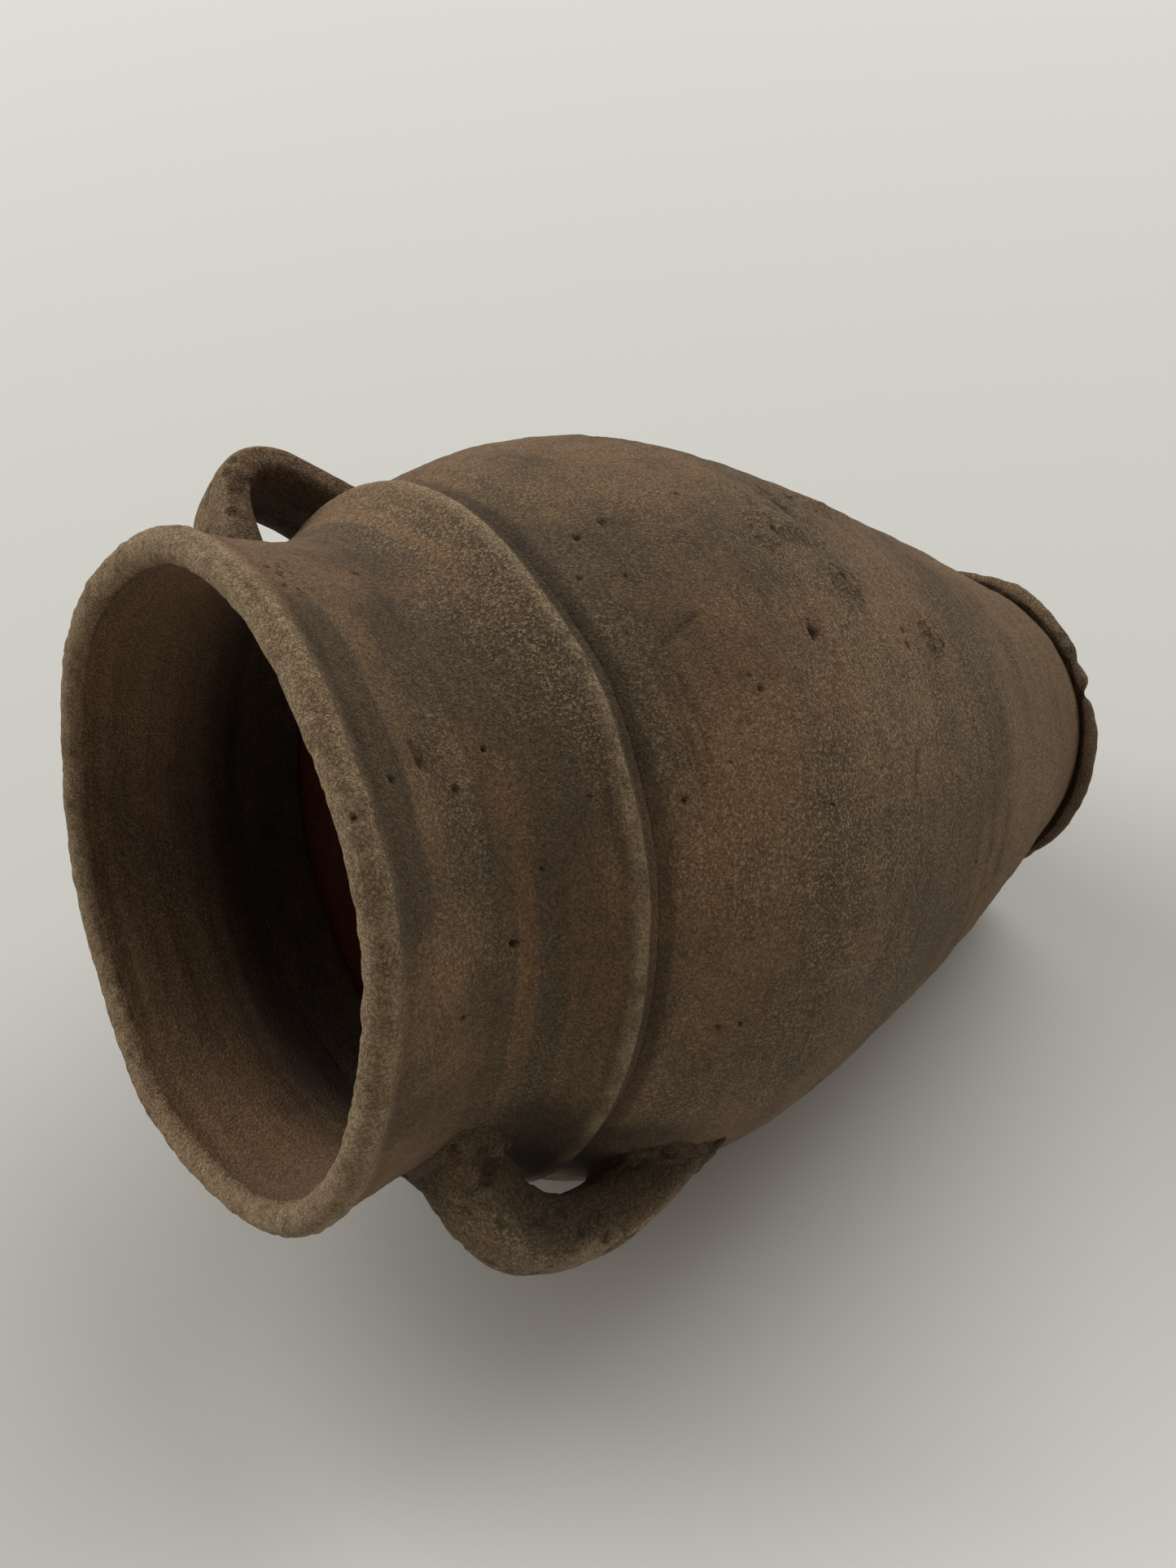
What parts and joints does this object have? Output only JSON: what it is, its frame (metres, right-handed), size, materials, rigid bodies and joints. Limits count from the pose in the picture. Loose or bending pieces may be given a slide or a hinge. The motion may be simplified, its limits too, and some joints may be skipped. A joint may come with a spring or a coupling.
{
  "type": "clay water jar",
  "caption": "Unglazed hand-built clay jar with a wide open neck, a ridge at the neck seam, a full shoulder, a tapering body on a thin flanged foot, and small strap handles from neck to shoulder",
  "frame": {"origin": "middle of the foot's underside, on the jar's own axis, with the jar standing upright", "axes": "+Z along the jar's axis from foot to mouth; the handles lie on +X (right) and on -X (left, set 4 degrees toward -Y); -Y is the front"},
  "size_m": [0.1894, 0.1688, 0.241],
  "materials": {
    "fired_clay": "matt, unglazed, smoke-mottled brown and grey",
    "handle_clay": "matt, unglazed, sandy",
    "luting_clay": "matt, rough, hand-smeared"
  },
  "bodies": {
    "root": {"foot_disc": "fired_clay", "floor_coil": "luting_clay", "body": "fired_clay", "neck": "fired_clay", "seam_coil": "luting_clay", "handle_left": "handle_clay", "handle_right": "handle_clay", "wad_upper_left": "luting_clay", "wad_upper_right": "luting_clay", "wad_lower_left": "luting_clay", "wad_lower_right": "luting_clay"}
  },
  "joints": []
}
